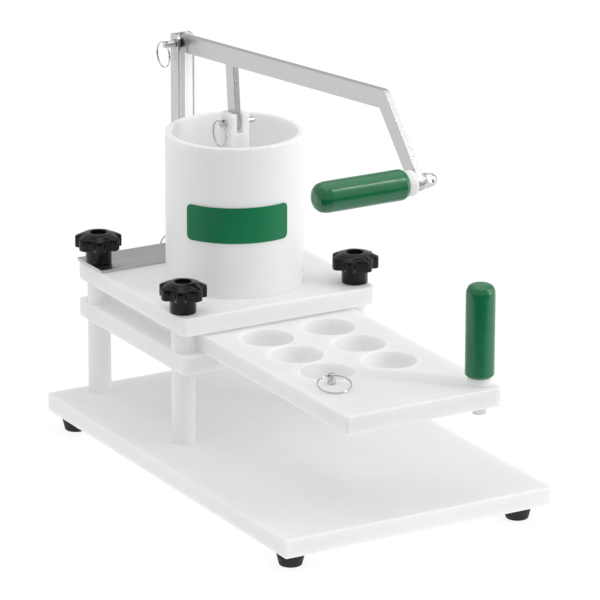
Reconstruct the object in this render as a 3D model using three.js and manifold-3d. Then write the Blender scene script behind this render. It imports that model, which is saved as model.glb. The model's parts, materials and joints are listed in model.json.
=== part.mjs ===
// Hand-operated portion press for soft food: a round hopper with a lever-driven
// plunger, standing on two decks, with a sliding mould plate between them.
// Millimetres, +Z up, +Y to the rear, +X to the right.
import * as THREE from 'three';
import { mergeVertices } from 'three/addons/utils/BufferGeometryUtils.js';
import Module from 'manifold-3d';

// ---------------------------------------------------------------- driving dimensions
const PLATE = 19;                 // thickness of every polyethylene plate
const BASE_W = 305, BASE_L = 500; // base plate
const FOOT_H = 19, FOOT_R_TOP = 16, FOOT_R_BOT = 11.5;
const FOOT_X = 130, FOOT_Y = [30, 480];
const LEG_X = 100.5, LEG_Y = [299, 481], LEG_R = 12, LEG_H = 78;
const DECK_W = 225, DECK_Y = [276, 505], DECK_R = 5;
const DECK_GAP = 21.5;            // height of the slot that the mould plate runs in
const ROD_R = 5, ROD_BORE = 5.5;  // tie rods and the holes for them
const HOP_Y = 371.6, HOP_RI = 65, HOP_RO = 71, HOP_TOP = 315, HOP_SPIGOT = 6;
const KNOB_R = 24.5, KNOB_STEM_R = 13.6, KNOB_STEM_H = 16.2, KNOB_RIM = 28.4, KNOB_H = 32.6;
const KNOB_LOBES = 7, KNOB_FLUTE = 4.6, KNOB_TURN = [29.3, 20, 40.3, 8]; // last: degrees each knob is turned
const STRIP_T = 3, STRIP_Y = [452, 506];
const MAST_W = 19, MAST_Y = [473, 491], MAST_T = 2.5, MAST_TOP = 392;
const PIVOT = [480.5, 382];       // lever fulcrum (y, z)
const BEND = [77, 419.8], BEND_R = 8; // where the lever turns down (y, z) and its outer radius
const GRIP = [15.5, 352];         // lever handle axis (y, z)
const CLEVIS = [371, 323.5];      // plunger pin (y, z)
const LEVER_T = 6.4, LEVER_H1 = 9.4, LEVER_H2 = 9.3, LINK_H = 8;
const PLUNGER_R = 59, PLUNGER_T = 16, PLUNGER_Z = 183, STEM = 11;
const SLIDE_HW = 88, SLIDE_Y = [-5, 460], SLIDE_CLEAR = 0.3;
const POCKET_R = 27.5, POCKET_X = 36, POCKET_Y = [122, 182, 242];
const SLIDE_GRIP = [74, 15], STOP = [-50.7, 88], STOP_TURN = -20.6; // last: ring direction, degrees from -Y
const PIN_R = 3, PIN_BORE = 3.3, BASE_PIN_Z = 168;
const REAR_END = 510.5;           // rear end of the mast pin

const Z_LEG = PLATE, Z_LOW = Z_LEG + LEG_H, Z_SLOT = Z_LOW + PLATE;
const Z_UP = Z_SLOT + DECK_GAP, Z_TOP = Z_UP + PLATE;
const Z_SLIDE = Z_SLOT + SLIDE_CLEAR, Z_SLIDE_TOP = Z_SLIDE + PLATE;

// ---------------------------------------------------------------- solids
const wasm = await Module();
wasm.setup();

function solid(geometry) {
  const g = geometry.index ? geometry.toNonIndexed() : geometry.clone();
  for (const a of Object.keys(g.attributes)) if (a !== 'position') g.deleteAttribute(a);
  const m = mergeVertices(g, 1e-4);
  const p = m.attributes.position.array, src = m.index.array, tri = [];
  let vol = 0;
  for (let i = 0; i < src.length; i += 3) {
    const [a, b, c] = [src[i], src[i + 1], src[i + 2]];
    if (a === b || b === c || a === c) continue;
    tri.push(a, b, c);
    const [A, B, C] = [a * 3, b * 3, c * 3];
    vol += p[A] * (p[B + 1] * p[C + 2] - p[B + 2] * p[C + 1])
         - p[A + 1] * (p[B] * p[C + 2] - p[B + 2] * p[C])
         + p[A + 2] * (p[B] * p[C + 1] - p[B + 1] * p[C]);
  }
  if (vol < 0) for (let i = 0; i < tri.length; i += 3) [tri[i], tri[i + 1]] = [tri[i + 1], tri[i]];
  return new wasm.Manifold(new wasm.Mesh({
    numProp: 3, vertProperties: new Float32Array(p), triVerts: new Uint32Array(tri),
  }));
}

function geometryOf(manifold) {
  const m = manifold.getMesh();
  const g = new THREE.BufferGeometry();
  g.setAttribute('position', new THREE.BufferAttribute(new Float32Array(m.vertProperties), 3));
  g.setIndex(new THREE.BufferAttribute(new Uint32Array(m.triVerts), 1));
  const flat = g.toNonIndexed();
  flat.computeVertexNormals();
  return flat;
}

const box = (x0, x1, y0, y1, z0, z1) =>
  solid(new THREE.BoxGeometry(x1 - x0, y1 - y0, z1 - z0)
    .translate((x0 + x1) / 2, (y0 + y1) / 2, (z0 + z1) / 2));

// turned piece about Z: profile of [radius, z] pairs, on the axis at both ends or a closed loop
function turned(profile, seg, closed = false) {
  const pts = profile.map(([r, z]) => new THREE.Vector2(r, z));
  if (closed) pts.push(pts[0].clone());
  return solid(new THREE.LatheGeometry(pts, seg).rotateX(Math.PI / 2));
}
const tube = (ri, ro, z0, z1, seg) => turned([[ri, z0], [ro, z0], [ro, z1], [ri, z1]], seg, true);
const rod = (r, z0, z1, seg) => turned([[0, z0], [r, z0], [r, z1], [0, z1]], seg);

// turn a piece made along Z so that its +Z points along +X or +Y
const alongX = (m) => m.rotate([0, 90, 0]);
const alongY = (m) => m.rotate([-90, 0, 0]);

function roundedRect(x0, x1, y0, y1, r) {
  const s = new THREE.Shape();
  s.moveTo(x0 + r, y0);
  s.lineTo(x1 - r, y0); s.absarc(x1 - r, y0 + r, r, -Math.PI / 2, 0, false);
  s.lineTo(x1, y1 - r); s.absarc(x1 - r, y1 - r, r, 0, Math.PI / 2, false);
  s.lineTo(x0 + r, y1); s.absarc(x0 + r, y1 - r, r, Math.PI / 2, Math.PI, false);
  s.lineTo(x0, y0 + r); s.absarc(x0 + r, y0 + r, r, Math.PI, Math.PI * 1.5, false);
  return s;
}
const plate = (x0, x1, y0, y1, z0, z1, r, arc) =>
  solid(new THREE.ExtrudeGeometry(roundedRect(x0, x1, y0, y1, r),
    { depth: z1 - z0, bevelEnabled: false, curveSegments: arc }).translate(0, 0, z0));

// plate standing in the y-z plane, centred on x = 0: outline of [y, z] pairs
const upright = (outline, t) =>
  solid(new THREE.ExtrudeGeometry(new THREE.Shape(outline.map(([y, z]) => new THREE.Vector2(y, z))),
    { depth: t, bevelEnabled: false }).translate(0, 0, -t / 2)
    .applyMatrix4(new THREE.Matrix4().set(0, 0, 1, 0, 1, 0, 0, 0, 0, 1, 0, 0, 0, 0, 0, 1)));

const arc = (cx, cy, r, a0, a1, n) => Array.from({ length: n + 1 }, (_, i) => {
  const a = a0 + (a1 - a0) * i / n;
  return [cx + r * Math.cos(a), cy + r * Math.sin(a)];
});

// ---------------------------------------------------------------- materials
const mat = (color, roughness, metalness) => new THREE.MeshStandardMaterial({ color, roughness, metalness });
const finish = {
  hdpe: () => mat(0xf1f2f3, 0.42, 0),
  steel: () => mat(0xb9bcc0, 0.34, 1),
  bright: () => mat(0xd2d5d8, 0.18, 1),
  black: () => mat(0x111113, 0.28, 0),
  rubber: () => mat(0x161616, 0.8, 0),
  green: () => mat(0x0b6f3f, 0.22, 0),
  label: () => mat(0x0f7a43, 0.45, 0),
};

const press = new THREE.Group();
press.position.set(0, -(SLIDE_Y[0] + REAR_END) / 2, FOOT_H);
function piece(name, manifold, kind) {
  const mesh = new THREE.Mesh(geometryOf(manifold), finish[kind]());
  mesh.name = name;
  press.add(mesh);
}
const corners = [
  ['front_left', -1, 0], ['front_right', 1, 0], ['rear_left', -1, 1], ['rear_right', 1, 1],
];

// ---------------------------------------------------------------- base, feet and legs
let base = plate(-BASE_W / 2, BASE_W / 2, 0, BASE_L, 0, PLATE, 2, 2);
for (const [, s, k] of corners) {
  base = base
    .subtract(rod(ROD_BORE, -1, PLATE + 1, 10).add(rod(11, -1, 8, 10)).translate([s * LEG_X, LEG_Y[k], 0]))
    .subtract(rod(2.7, -1, 14, 8).translate([s * FOOT_X, FOOT_Y[k], 0]));
}
piece('base_plate', base, 'hdpe');

for (const [name, s, k] of corners) {
  const at = [s * FOOT_X, FOOT_Y[k], 0];
  piece('foot_' + name, turned([[2.9, 0], [FOOT_R_TOP, 0], [FOOT_R_BOT + 0.9, -FOOT_H + 2],
    [FOOT_R_BOT - 0.8, -FOOT_H], [5.4, -FOOT_H], [5.4, -9], [2.9, -9]], 14, true).translate(at), 'rubber');
  piece('foot_screw_' + name, turned([[0, -13], [3.6, -13], [4.7, -11.4], [4.7, -9.3], [2.4, -9.3],
    [2.4, 13], [0, 13]], 8).translate(at), 'bright');
}

for (const [name, s, k] of corners) {
  const at = [s * LEG_X, LEG_Y[k], 0];
  piece('leg_' + name, tube(ROD_BORE, LEG_R, Z_LEG, Z_LOW, 16).translate(at), 'hdpe');
}

// ---------------------------------------------------------------- decks and spacers
let lower = plate(-DECK_W / 2, DECK_W / 2, DECK_Y[0], DECK_Y[1], Z_LOW, Z_SLOT, DECK_R, 4);
let upper = plate(-DECK_W / 2, DECK_W / 2, DECK_Y[0], DECK_Y[1], Z_UP, Z_TOP, DECK_R, 4)
  .subtract(rod(HOP_RI, Z_UP - 1, Z_TOP + 1, 36).add(rod(HOP_RO + 0.3, Z_TOP - HOP_SPIGOT, Z_TOP + 1, 36))
    .translate([0, HOP_Y, 0]));
for (const [, s, k] of corners) {
  const hole = rod(ROD_BORE, Z_LOW - 1, Z_TOP + 1, 10).translate([s * LEG_X, LEG_Y[k], 0]);
  lower = lower.subtract(hole);
  upper = upper.subtract(hole);
}
piece('lower_deck', lower, 'hdpe');
for (const [name, s, k] of corners) {
  piece('spacer_' + name, tube(ROD_BORE, LEG_R, Z_SLOT, Z_UP, 16).translate([s * LEG_X, LEG_Y[k], 0]), 'hdpe');
}
piece('upper_deck', upper, 'hdpe');

// ---------------------------------------------------------------- hopper and its plain label
piece('hopper', tube(HOP_RI, HOP_RO, Z_TOP - HOP_SPIGOT, HOP_TOP, 36).translate([0, HOP_Y, 0]), 'hdpe');
{
  const n = 14, half = 45 * Math.PI / 180, mid = -Math.PI / 2 - 26.5 * Math.PI / 180;
  const r0 = HOP_RO + 0.4, r1 = HOP_RO + 1.1;
  const outline = [...arc(0, 0, r0, mid - half, mid + half, n), ...arc(0, 0, r1, mid + half, mid - half, n)];
  const g = new THREE.ExtrudeGeometry(new THREE.Shape(outline.map(([x, y]) => new THREE.Vector2(x, y))),
    { depth: 37.5, bevelEnabled: false });
  piece('hopper_label', solid(g).translate([0, HOP_Y, 215.5]), 'label');
}

// ---------------------------------------------------------------- tie rods and star knobs
const knobOutline = Array.from({ length: KNOB_LOBES * 8 }, (_, i) => {
  const a = i * Math.PI / (KNOB_LOBES * 4), w = 0.5 + 0.5 * Math.tanh(2.2 * Math.cos(KNOB_LOBES * a)) / Math.tanh(2.2);
  const r = KNOB_R - KNOB_FLUTE * (1 - w);
  return new THREE.Vector2(r * Math.cos(a), r * Math.sin(a));
});
for (const [name, s, k] of corners) {
  const seat = Z_TOP + (k ? STRIP_T : 0), at = [s * LEG_X, LEG_Y[k], 0];
  piece('tie_rod_' + name, turned([[0, 1], [9, 1], [9, 7.7], [ROD_R, 7.7], [ROD_R, seat + 27],
    [ROD_R - 1, seat + 28], [0, seat + 28]], 10).translate(at), 'bright');
  // the crown is what is left of the fluted head under a shallow cone
  const head = solid(new THREE.ExtrudeGeometry(new THREE.Shape(knobOutline),
    { depth: KNOB_H - KNOB_STEM_H, bevelEnabled: false }).translate(0, 0, seat + KNOB_STEM_H))
    .subtract(turned([[9.8, seat + KNOB_H], [18, seat + 30.9], [KNOB_R - 1, seat + KNOB_RIM], [KNOB_R + 1, seat + KNOB_RIM - 1.6],
      [KNOB_R + 4, seat + KNOB_RIM - 1.6], [KNOB_R + 4, seat + KNOB_H + 3], [9.8, seat + KNOB_H + 3]], 28, true))
    .rotate([0, 0, KNOB_TURN[corners.findIndex(([c]) => c === name)]]);
  piece('star_knob_' + name, head
    .add(rod(KNOB_STEM_R, seat + 0.2, seat + KNOB_STEM_H + 1, 16))
    .subtract(rod(ROD_R + 0.5, seat - 1, seat + KNOB_H + 1, 10))
    .subtract(rod(8.5, seat + KNOB_H - 5, seat + KNOB_H + 1, 10)).translate(at), 'black');
}

// ---------------------------------------------------------------- mast bracket and mast
const my0 = MAST_Y[0], my1 = MAST_Y[1], mh = MAST_W / 2;
{
  let b = box(-DECK_W / 2, DECK_W / 2, STRIP_Y[0], STRIP_Y[1], Z_TOP, Z_TOP + STRIP_T)
    .add(box(-mh - 3.3, mh + 3.3, my0 - 3.3, my1 + 3.3, Z_TOP + 1, Z_TOP + 24))
    .subtract(box(-mh - 0.3, mh + 0.3, my0 - 0.3, my1 + 0.3, Z_TOP + STRIP_T, Z_TOP + 30))
    .subtract(alongY(rod(PIN_BORE, 460, 500, 12)).translate([0, 0, BASE_PIN_Z]));
  for (const s of [-1, 1]) b = b.subtract(rod(ROD_BORE, Z_TOP - 1, Z_TOP + 5, 10).translate([s * LEG_X, LEG_Y[1], 0]));
  piece('mast_bracket', b, 'steel');

  const zb = Z_TOP + STRIP_T + 0.3;
  const outline = [[my0, zb], [my1, zb], ...arc(my1 - 6, MAST_TOP - 6, 6, 0, Math.PI / 2, 4),
    ...arc(my0 + 6, MAST_TOP - 6, 6, Math.PI / 2, Math.PI, 4)];
  piece('mast', upright(outline, MAST_W)
    .subtract(box(-mh + MAST_T, mh - MAST_T, my0 - 1, my1 - MAST_T, zb - 1, MAST_TOP + 1))
    .subtract(alongY(rod(PIN_BORE, 480, 500, 12)).translate([0, 0, BASE_PIN_Z]))
    .subtract(alongX(rod(PIN_BORE, -20, 20, 12)).translate([0, PIVOT[0], PIVOT[1]])), 'steel');
}

// ---------------------------------------------------------------- pull pins and their split rings
// pin along +Z with its head at the low end; a cross hole for the ring runs along Y
function pullPin(head0, head1, tip, cross) {
  return turned([[0, head0], [3.4, head0], [4.3, head0 + 1], [4.3, head1], [PIN_R, head1],
    [PIN_R, tip - 1.5], [PIN_R - 1.3, tip], [0, tip]], 12)
    .subtract(alongY(rod(1.7, -8, 8, 8)).translate([0, 0, cross]));
}
const ring = (R) => solid(new THREE.TorusGeometry(R, 0.8, 5, 18)); // lies in its local x-y plane
const RING_R = 13.3, STOP_RING_R = 16.7, RING_SIT = 0.35; // a ring's arc sits a little high in its hole
const RING_LEAN = 25; // degrees that the fulcrum and plunger pins are turned, with their rings

piece('fulcrum_pin', alongX(pullPin(-22.5, -9.8, 17, -20)).rotate([RING_LEAN, 0, 0]).translate([0, PIVOT[0], PIVOT[1]]), 'bright');
piece('fulcrum_pin_ring', ring(RING_R).rotate([0, 90, 0]).translate([0, 0, RING_SIT - RING_R]).rotate([RING_LEAN, 0, 0])
  .translate([-20, PIVOT[0], PIVOT[1]]), 'bright');
piece('mast_pin', pullPin(-REAR_END, -(my1 + 3.6), -462, -508).rotate([0, 0, 90]).rotate([90, 0, 0])
  .translate([0, 0, BASE_PIN_Z]), 'bright');
piece('mast_pin_ring', ring(RING_R).rotate([90, 0, 0]).translate([0, 508, BASE_PIN_Z - RING_R + RING_SIT]), 'bright');
piece('plunger_pin', alongX(pullPin(-17, -STEM - 0.4, 23, -14.6)).rotate([RING_LEAN, 0, 0]).translate([0, CLEVIS[0], CLEVIS[1]]), 'bright');
piece('plunger_pin_ring', ring(RING_R).rotate([0, 90, 0]).translate([0, 0, RING_SIT - RING_R]).rotate([RING_LEAN, 0, 0])
  .translate([-14.6, CLEVIS[0], CLEVIS[1]]), 'bright');

// ---------------------------------------------------------------- lever with its welded link
{
  const unit = (a, b) => { const d = [b[0] - a[0], b[1] - a[1]], l = Math.hypot(...d); return [d[0] / l, d[1] / l]; };
  const u = unit(PIVOT, BEND), v = unit(BEND, GRIP);
  const nu = [u[1], -u[0]], nv = [v[1], -v[0]];              // towards the top side
  const off = (p, n, h) => [p[0] + n[0] * h, p[1] + n[1] * h];
  const meet = (p, d, q, e) => {                              // where two lines cross
    const k = ((q[0] - p[0]) * e[1] - (q[1] - p[1]) * e[0]) / (d[0] * e[1] - d[1] * e[0]);
    return [p[0] + d[0] * k, p[1] + d[1] * k];
  };
  const side = Math.sign(nu[1]);
  const top = meet(off(PIVOT, nu, side * LEVER_H1), u, off(GRIP, nv, side * LEVER_H2), v);
  const low = meet(off(PIVOT, nu, -side * LEVER_H1), u, off(GRIP, nv, -side * LEVER_H2), v);
  const start = off(PIVOT, u, 6);
  const turn = Math.acos(u[0] * v[0] + u[1] * v[1]), reach = BEND_R * Math.tan(turn / 2);
  const heart = off(off(top, u, -reach), nu, -side * BEND_R);  // centre of the outer radius
  const n0 = Math.atan2(side * nu[1], side * nu[0]), n1 = Math.atan2(side * nv[1], side * nv[0]);
  const au = Math.atan2(u[1], u[0]), av = Math.atan2(v[1], v[0]);
  const outline = [
    off(start, nu, side * LEVER_H1), ...arc(heart[0], heart[1], BEND_R, n0, n1, 4), ...arc(GRIP[0], GRIP[1], LEVER_H2, av - Math.PI / 2, av + Math.PI / 2, 8),
    low, off(start, nu, -side * LEVER_H1), ...arc(PIVOT[0], PIVOT[1], 7.2, au - Math.PI * 1.5 + 0.25, au - Math.PI / 2 - 0.25, 8),
  ];
  const hang = off(CLEVIS, nu, side * 64);
  const al = Math.atan2(-side * nu[1], -side * nu[0]);
  const link = [
    [hang[0] + u[0] * LINK_H, hang[1] + u[1] * LINK_H], [hang[0] - u[0] * LINK_H, hang[1] - u[1] * LINK_H],
    ...arc(CLEVIS[0], CLEVIS[1], LINK_H, al + Math.PI / 2, al - Math.PI / 2, 8),
  ];
  piece('lever', upright(outline, LEVER_T).add(upright(link, LEVER_T))
    .subtract(alongX(rod(PIN_BORE, -9, 9, 12)).translate([0, PIVOT[0], PIVOT[1]]))
    .subtract(alongX(rod(PIN_BORE, -9, 9, 12)).translate([0, CLEVIS[0], CLEVIS[1]]))
    .subtract(alongX(rod(4.4, -9, 9, 12)).translate([0, GRIP[0], GRIP[1]])), 'steel');
}
for (const [name, a, b] of [['lever_bush_left', -6.8, -3.5], ['lever_bush_right', 3.5, 6.8]]) {
  piece(name, alongX(tube(PIN_BORE, 4.8, a, b, 14)).translate([0, PIVOT[0], PIVOT[1]]), 'black');
}

// ---------------------------------------------------------------- lever handle, along X
{
  const at = [0, GRIP[0], GRIP[1]];
  piece('lever_grip', alongX(turned([[0, -113], [5.6, -113], [10.4, -111.4], [13.6, -108], [15, -103], [15.2, -97],
    [15.2, -19], [14, -16], [11.4, -14.6], [4.6, -14.6], [4.6, -106], [0, -106]], 22)).translate(at), 'green');
  piece('lever_grip_collar', alongX(tube(4.5, 12.7, -14.3, -4.7, 20)).translate(at), 'hdpe');
  piece('lever_grip_washer', alongX(tube(4.5, 8, -4.5, -3.5, 16)).translate(at), 'bright');
  piece('lever_handle_rod', alongX(rod(4, -104, 13, 12)).translate(at), 'bright');
  piece('lever_nut_washer', alongX(tube(4.5, 8.5, 3.5, 5, 16)).translate(at), 'bright');
  piece('lever_cap_nut', alongX(rod(7.6, 5.3, 13, 6)
    .add(turned([[0, 12.5], [6.5, 12.5], [6.2, 17], [4.2, 20.4], [0, 21.6]], 12))
    .subtract(rod(4.4, 5, 15, 12))).translate(at), 'bright');
}

// ---------------------------------------------------------------- plunger
{
  const [py, pz] = CLEVIS, zd = PLUNGER_Z, zt = zd + PLUNGER_T;
  piece('plunger_disc', turned([[0, zd], [PLUNGER_R - 1.5, zd], [PLUNGER_R, zd + 1.5], [PLUNGER_R, zt - 1.5],
    [PLUNGER_R - 1.5, zt], [0, zt]], 36).subtract(rod(4.6, zd - 1, zt + 1, 12)).subtract(rod(8.5, zd - 1, zd + 6, 12))
    .translate([0, py, 0]), 'hdpe');
  piece('plunger_stem', plate(-STEM, STEM, py - STEM, py + STEM, zt, pz + 10.5, 2, 2)
    .subtract(box(-LEVER_T / 2 - 0.5, LEVER_T / 2 + 0.5, py - 20, py + 20, pz - 9.5, pz + 20))
    .subtract(alongX(rod(PIN_BORE, -20, 20, 12)).translate([0, py, pz]))
    .subtract(rod(4.4, zt - 1, zt + 32, 12).translate([0, py, 0])), 'hdpe');
  piece('plunger_screw', turned([[0, zd + 1], [7.5, zd + 1], [7.5, zd + 5.7], [4, zd + 5.7], [4, zt + 30], [0, zt + 30]], 12)
    .translate([0, py, 0]), 'bright');
}

// ---------------------------------------------------------------- sliding mould plate
{
  let s = plate(-SLIDE_HW, SLIDE_HW, SLIDE_Y[0], SLIDE_Y[1], Z_SLIDE, Z_SLIDE_TOP, 3, 2);
  for (const y of POCKET_Y) for (const x of [-POCKET_X, POCKET_X]) {
    s = s.subtract(rod(POCKET_R, Z_SLIDE - 1, Z_SLIDE_TOP + 1, 20).translate([x, y, 0]));
  }
  s = s.subtract(rod(4.4, Z_SLIDE - 1, Z_SLIDE_TOP + 1, 12).translate([SLIDE_GRIP[0], SLIDE_GRIP[1], 0]))
    .subtract(rod(PIN_BORE, Z_SLIDE - 1, Z_SLIDE_TOP + 1, 12).translate([STOP[0], STOP[1], 0]));
  piece('mould_plate', s, 'hdpe');

  const at = [SLIDE_GRIP[0], SLIDE_GRIP[1], Z_SLIDE_TOP];
  piece('slide_grip_collar', tube(4.5, 12.3, 0.2, 8.2, 20).translate(at), 'hdpe');
  piece('slide_grip', turned([[0, 98], [4.6, 98], [4.6, 8.6], [13.2, 8.6], [14.6, 10.4], [14.6, 90], [14.3, 95.5], [12.9, 99.6],
    [10, 102], [6, 102.8], [0, 102.8]], 22).translate(at), 'green');
  piece('slide_grip_washer', tube(4.4, 8.5, -PLATE - 2, -PLATE - 0.3, 16).translate(at), 'bright');
  piece('slide_grip_bolt', rod(7.6, -PLATE - 11, -PLATE - 2.3, 6).add(rod(4, -PLATE - 3, 95, 12)).translate(at), 'bright');

  piece('stop_pin', pullPin(-10.4, -0.3, 17.5, -8.2).mirror([0, 0, 1]).rotate([0, 0, 90 + STOP_TURN])
    .translate([STOP[0], STOP[1], Z_SLIDE_TOP]), 'bright');
  const drop = Math.asin((8.2 - 1.0) / (2 * STOP_RING_R));
  piece('stop_pin_ring', ring(STOP_RING_R).translate([0, RING_SIT - STOP_RING_R, 0]).rotate([drop * 180 / Math.PI, 0, 0]).rotate([0, 0, STOP_TURN])
    .translate([STOP[0], STOP[1], Z_SLIDE_TOP + 8.2]), 'bright');
}

export default press;
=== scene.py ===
import json
import math

import bpy
import bmesh
from mathutils import Matrix, Vector
from mathutils.geometry import tessellate_polygon

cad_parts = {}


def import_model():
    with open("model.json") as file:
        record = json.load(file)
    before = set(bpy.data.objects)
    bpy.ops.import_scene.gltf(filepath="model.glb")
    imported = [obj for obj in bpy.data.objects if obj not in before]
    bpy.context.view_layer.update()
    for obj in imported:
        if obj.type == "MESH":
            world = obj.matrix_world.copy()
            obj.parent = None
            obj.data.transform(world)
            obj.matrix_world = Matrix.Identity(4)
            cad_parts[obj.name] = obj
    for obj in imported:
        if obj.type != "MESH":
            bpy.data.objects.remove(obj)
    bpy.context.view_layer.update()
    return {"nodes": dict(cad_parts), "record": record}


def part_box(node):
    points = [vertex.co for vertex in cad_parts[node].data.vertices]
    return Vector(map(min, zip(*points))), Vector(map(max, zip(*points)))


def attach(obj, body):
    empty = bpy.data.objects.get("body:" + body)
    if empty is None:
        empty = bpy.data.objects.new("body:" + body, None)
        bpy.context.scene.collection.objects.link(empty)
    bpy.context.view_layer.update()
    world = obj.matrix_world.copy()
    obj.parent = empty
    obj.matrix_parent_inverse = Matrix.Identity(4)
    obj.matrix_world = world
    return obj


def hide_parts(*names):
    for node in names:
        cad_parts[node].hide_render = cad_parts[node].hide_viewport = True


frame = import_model()

# ------------------------------------------------------------------ dimensions, mm
PLATE = 19.0
BASE_W, BASE_L = 305.0, 500.0
FOOT_H, FOOT_R_TOP, FOOT_R_BOT = 19.0, 16.0, 11.5
FOOT_X, FOOT_Y = 130.0, (30.0, 480.0)
LEG_X, LEG_Y, LEG_R, LEG_H = 100.5, (299.0, 481.0), 12.0, 78.0
DECK_W, DECK_Y, DECK_R, DECK_GAP = 225.0, (276.0, 505.0), 5.0, 21.5
ROD_R, ROD_BORE = 5.0, 5.5
HOP_Y, HOP_RI, HOP_RO, HOP_TOP, HOP_SPIGOT = 371.6, 65.0, 71.0, 315.0, 6.0
KNOB_R, KNOB_STEM_R, KNOB_STEM_H, KNOB_RIM, KNOB_H = 24.5, 13.6, 16.2, 28.4, 32.6
KNOB_LOBES, KNOB_FLUTE, KNOB_TURN = 7, 4.6, (29.3, 20.0, 40.3, 8.0)
STRIP_T, STRIP_Y = 3.0, (452.0, 506.0)
MAST_W, MAST_Y, MAST_T, MAST_TOP = 19.0, (473.0, 491.0), 2.5, 392.0
PIVOT, BEND, GRIP, CLEVIS = (480.5, 382.0), (77.0, 419.8), (15.5, 352.0), (371.0, 323.5)
BEND_R = 8.0
LEVER_T, LEVER_H1, LEVER_H2, LINK_H = 6.4, 9.4, 9.3, 8.0
PLUNGER_R, PLUNGER_T, PLUNGER_Z, STEM = 59.0, 16.0, 183.0, 11.0
SLIDE_HW, SLIDE_Y, SLIDE_CLEAR = 88.0, (-5.0, 460.0), 0.3
POCKET_R, POCKET_X, POCKET_Y = 27.5, 36.0, (122.0, 182.0, 242.0)
SLIDE_GRIP, STOP = (74.0, 15.0), (-50.7, 88.0)
PIN_R, PIN_BORE, BASE_PIN_Z, REAR_END = 3.0, 3.3, 168.0, 510.5
RING_R, STOP_RING_R, RING_SIT = 13.3, 16.7, 0.35
RING_LEAN, STOP_TURN = 25.0, -20.6
Z_LEG = PLATE
Z_LOW = Z_LEG + LEG_H
Z_SLOT = Z_LOW + PLATE
Z_UP = Z_SLOT + DECK_GAP
Z_TOP = Z_UP + PLATE
Z_SLIDE = Z_SLOT + SLIDE_CLEAR
Z_SLIDE_TOP = Z_SLIDE + PLATE

base_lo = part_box("base_plate")[0]
OY, OZ = base_lo[1] * 1000.0, base_lo[2] * 1000.0
TO_ROW = Matrix.Translation((0, OY / 1000, OZ / 1000)) @ Matrix.Scale(0.001, 4)
UPRIGHT = Matrix(((0, 0, 1, 0), (1, 0, 0, 0), (0, 1, 0, 0), (0, 0, 0, 1)))   # x,y,z -> y,z,x
ALONG_Y = Matrix(((0, 1, 0, 0), (0, 0, 1, 0), (1, 0, 0, 0), (0, 0, 0, 1)))   # x,y,z -> z,x,y
ALONG_X = UPRIGHT


def T(x=0.0, y=0.0, z=0.0):
    return Matrix.Translation((x, y, z))


def R(deg, axis):
    return Matrix.Rotation(math.radians(deg), 4, axis)


# ------------------------------------------------------------------ outlines
def rounded(corners, closed=True, step=9.0):
    """[(x, y, radius)] -> [(x, y, nx, ny)] with true normals, on the right of the path."""
    n = len(corners)
    out = []
    for i, (x, y, r) in enumerate(corners):
        if not closed and i in (0, n - 1):
            continue
        p = Vector((x, y))
        a = Vector(corners[i - 1][:2])
        b = Vector(corners[(i + 1) % n][:2])
        d0, d1 = (p - a).normalized(), (b - p).normalized()
        turn = math.atan2(d0.x * d1.y - d0.y * d1.x, d0.dot(d1))
        n0 = Vector((d0.y, -d0.x))
        if abs(turn) < 1e-5:
            out.append((x, y, n0.x, n0.y))
            continue
        r = max(r, 0.02)
        t = r * math.tan(abs(turn) / 2)
        start = p - d0 * t
        sign = 1.0 if turn > 0 else -1.0
        centre = start - n0 * r * sign
        k = max(2, int(math.ceil(abs(math.degrees(turn)) / step)))
        for j in range(k + 1):
            ang = turn * j / k
            c, s = math.cos(ang), math.sin(ang)
            m = Vector((n0.x * c - n0.y * s, n0.x * s + n0.y * c))
            q = centre + m * r * sign
            out.append((q.x, q.y, m.x, m.y))
    return out


def circle(r, seg, x=0.0, y=0.0, hole=False):
    s = -1.0 if hole else 1.0
    return [(x + r * math.cos(s * 2 * math.pi * i / seg), y + r * math.sin(s * 2 * math.pi * i / seg),
             s * math.cos(s * 2 * math.pi * i / seg), s * math.sin(s * 2 * math.pi * i / seg)) for i in range(seg)]


def rect(x0, x1, y0, y1, r, hole=False):
    c = [(x0, y0, r), (x1, y0, r), (x1, y1, r), (x0, y1, r)]
    return rounded(c[::-1] if hole else c)


def wall(z0, z1, f0, f1, steps=()):
    """Side profile of an outline, bottom to top: steps are (offset, z) corners in between."""
    last = steps[-1][0] if steps else 0.0
    first = steps[0][2] if steps and len(steps[0]) > 2 else 0.0
    path = [(first - 50, z0, 0), (first, z0, f0)]
    path += [(s[0], s[1], 0.12) for s in steps]
    path += [(last, z1, f1), (last - 50, z1, 0)]
    return rounded(path, closed=False, step=22.5)


# ------------------------------------------------------------------ meshes
def build(verts, faces, normals=None, matrix=Matrix.Identity(4)):
    me = bpy.data.meshes.new("m")
    me.from_pydata([tuple(matrix @ Vector(v)) for v in verts], [], faces)
    me.validate()
    me.update()
    me.polygons.foreach_set("use_smooth", [True] * len(me.polygons))
    if normals is not None and len(normals) == len(me.vertices):
        rot = matrix.to_3x3()
        me.normals_split_custom_set_from_vertices([tuple((rot @ Vector(v)).normalized()) for v in normals])
    return me


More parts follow.
